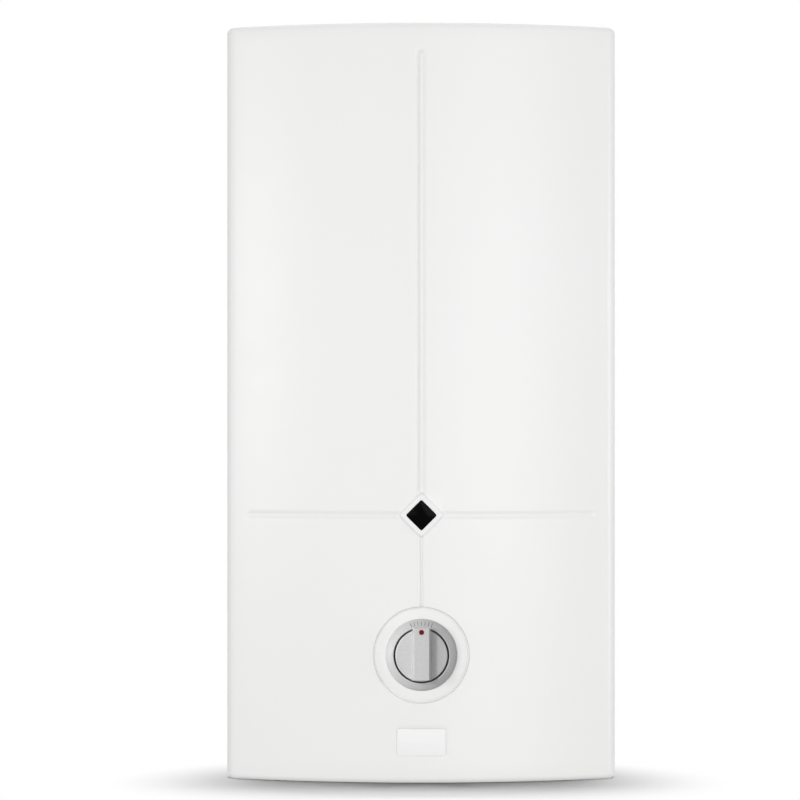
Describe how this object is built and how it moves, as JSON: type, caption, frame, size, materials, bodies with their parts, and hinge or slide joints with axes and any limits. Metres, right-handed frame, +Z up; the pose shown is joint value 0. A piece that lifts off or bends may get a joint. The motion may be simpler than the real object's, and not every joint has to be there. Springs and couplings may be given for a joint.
{
  "type": "gas water heater",
  "caption": "Wall-hung instantaneous gas water heater with bowed enamelled cover, turn-and-push control knob, sight window, flue collar and threaded gas and water connections.",
  "frame": {"origin": "centre of the four wall fixing holes, on the wall's surface, behind the middle of the cover", "axes": "+X to the viewer's right, +Y into the wall (the front faces -Y), +Z up"},
  "size_m": [0.356, 0.2614, 0.685],
  "materials": {
    "enamel": "glossy white enamel on sheet steel",
    "window_glass": "dark heat-proof glass",
    "badge": "satin white plate, bare",
    "dial_plastic": "satin grey moulded plastic",
    "knob_plastic": "satin silver-grey moulded plastic",
    "dot_paint": "deep red insert",
    "inner_plastic": "dark moulded plastic",
    "spring_steel": "bright wire",
    "galvanised": "galvanised sheet",
    "aluminised": "aluminised sheet",
    "screw_steel": "zinc-plated",
    "copper": "bare copper, lead-free tinned inside",
    "burner_steel": "stainless sheet",
    "die_cast": "die-cast alloy",
    "brass": "machined brass",
    "rubber": "moulded rubber",
    "ceramic": "white ceramic",
    "lead_cover": "silicone-covered lead"
  },
  "bodies": {
    "chassis": {"back_plate": "galvanised", "cover_screws": "screw_steel", "flue_hood": "aluminised", "flue_collar": "aluminised", "spill_sensor": "inner_plastic", "combustion_chamber": "copper", "heat_fins": "copper", "fin_tubes": "copper", "water_coil": "copper", "exchanger_bracket": "galvanised", "burner_bars": "burner_steel", "injectors": "brass", "manifold": "die_cast", "burner_frame": "galvanised", "burner_riser": "die_cast", "valve_body": "die_cast", "valve_bonnet": "die_cast", "bonnet_screws": "screw_steel", "magnet_unit": "brass", "piezo_igniter": "inner_plastic", "water_valve_top": "brass", "water_valve_base": "brass", "diaphragm": "rubber", "stem_gland": "brass", "water_valve_screws": "screw_steel", "drain_plug": "brass", "hot_outlet": "brass", "gas_inlet": "brass", "cold_inlet": "brass", "pipe_shelf": "galvanised", "hot_pipe": "copper", "inlet_pipe": "copper", "cold_pipe": "copper", "gas_pipe": "copper", "pipe_unions": "brass", "overheat_sensor": "inner_plastic", "pilot_bracket": "burner_steel", "pilot_burner": "brass", "spark_electrode": "ceramic", "thermocouple": "copper", "ignition_lead": "lead_cover", "pilot_pipe": "copper"},
    "cover": {"front_cover": "enamel", "sight_window": "window_glass", "badge_plate": "badge", "dial_ring": "dial_plastic", "dial_retainer": "inner_plastic"},
    "bush": {"knob_bush": "inner_plastic", "bush_clip": "spring_steel"},
    "knob": {"knob_cap": "knob_plastic", "pointer_dot": "dot_paint", "knob_spring": "spring_steel"},
    "valve_core": {"valve_core": "brass"},
    "spindle": {"valve_spindle": "brass", "push_disc": "galvanised"},
    "plunger": {"piezo_plunger": "inner_plastic"},
    "stem": {"water_stem": "brass"}
  },
  "joints": [
    {"name": "cover_pull", "type": "slide", "parent": "chassis", "child": "cover", "axis": [0, -1, 0], "range_m": [0, 0.26]},
    {"name": "knob_turn", "type": "hinge", "parent": "cover", "child": "bush", "pos_m": [0, -0.22, -0.2255], "axis": [0, -1, 0], "range_deg": [0, 180]},
    {"name": "knob_push", "type": "slide", "parent": "bush", "child": "knob", "axis": [0, 1, 0], "range_m": [0, 0.005], "stiffness_N_per_m": 900, "springref_m": -0.004, "deforming": ["knob_spring"]},
    {"name": "core_turn", "type": "hinge", "parent": "chassis", "child": "valve_core", "pos_m": [0, -0.15, -0.2255], "axis": [0, -1, 0], "range_deg": [0, 180]},
    {"name": "spindle_push", "type": "slide", "parent": "valve_core", "child": "spindle", "axis": [0, 1, 0], "range_m": [0, 0.005]},
    {"name": "plunger_push", "type": "slide", "parent": "chassis", "child": "plunger", "axis": [0, 1, 0], "range_m": [0, 0.005]},
    {"name": "water_lift", "type": "slide", "parent": "chassis", "child": "stem", "axis": [0, 0, 1], "range_m": [0, 0.004], "stiffness_N_per_m": 400, "springref_m": -0.003, "deforming": ["diaphragm"]}
  ],
  "couplings": [
    {"joint": "core_turn", "follows": "knob_turn", "ratio": 1},
    {"joint": "spindle_push", "follows": "knob_push", "ratio": 1},
    {"joint": "plunger_push", "follows": "knob_push", "ratio": 1}
  ]
}
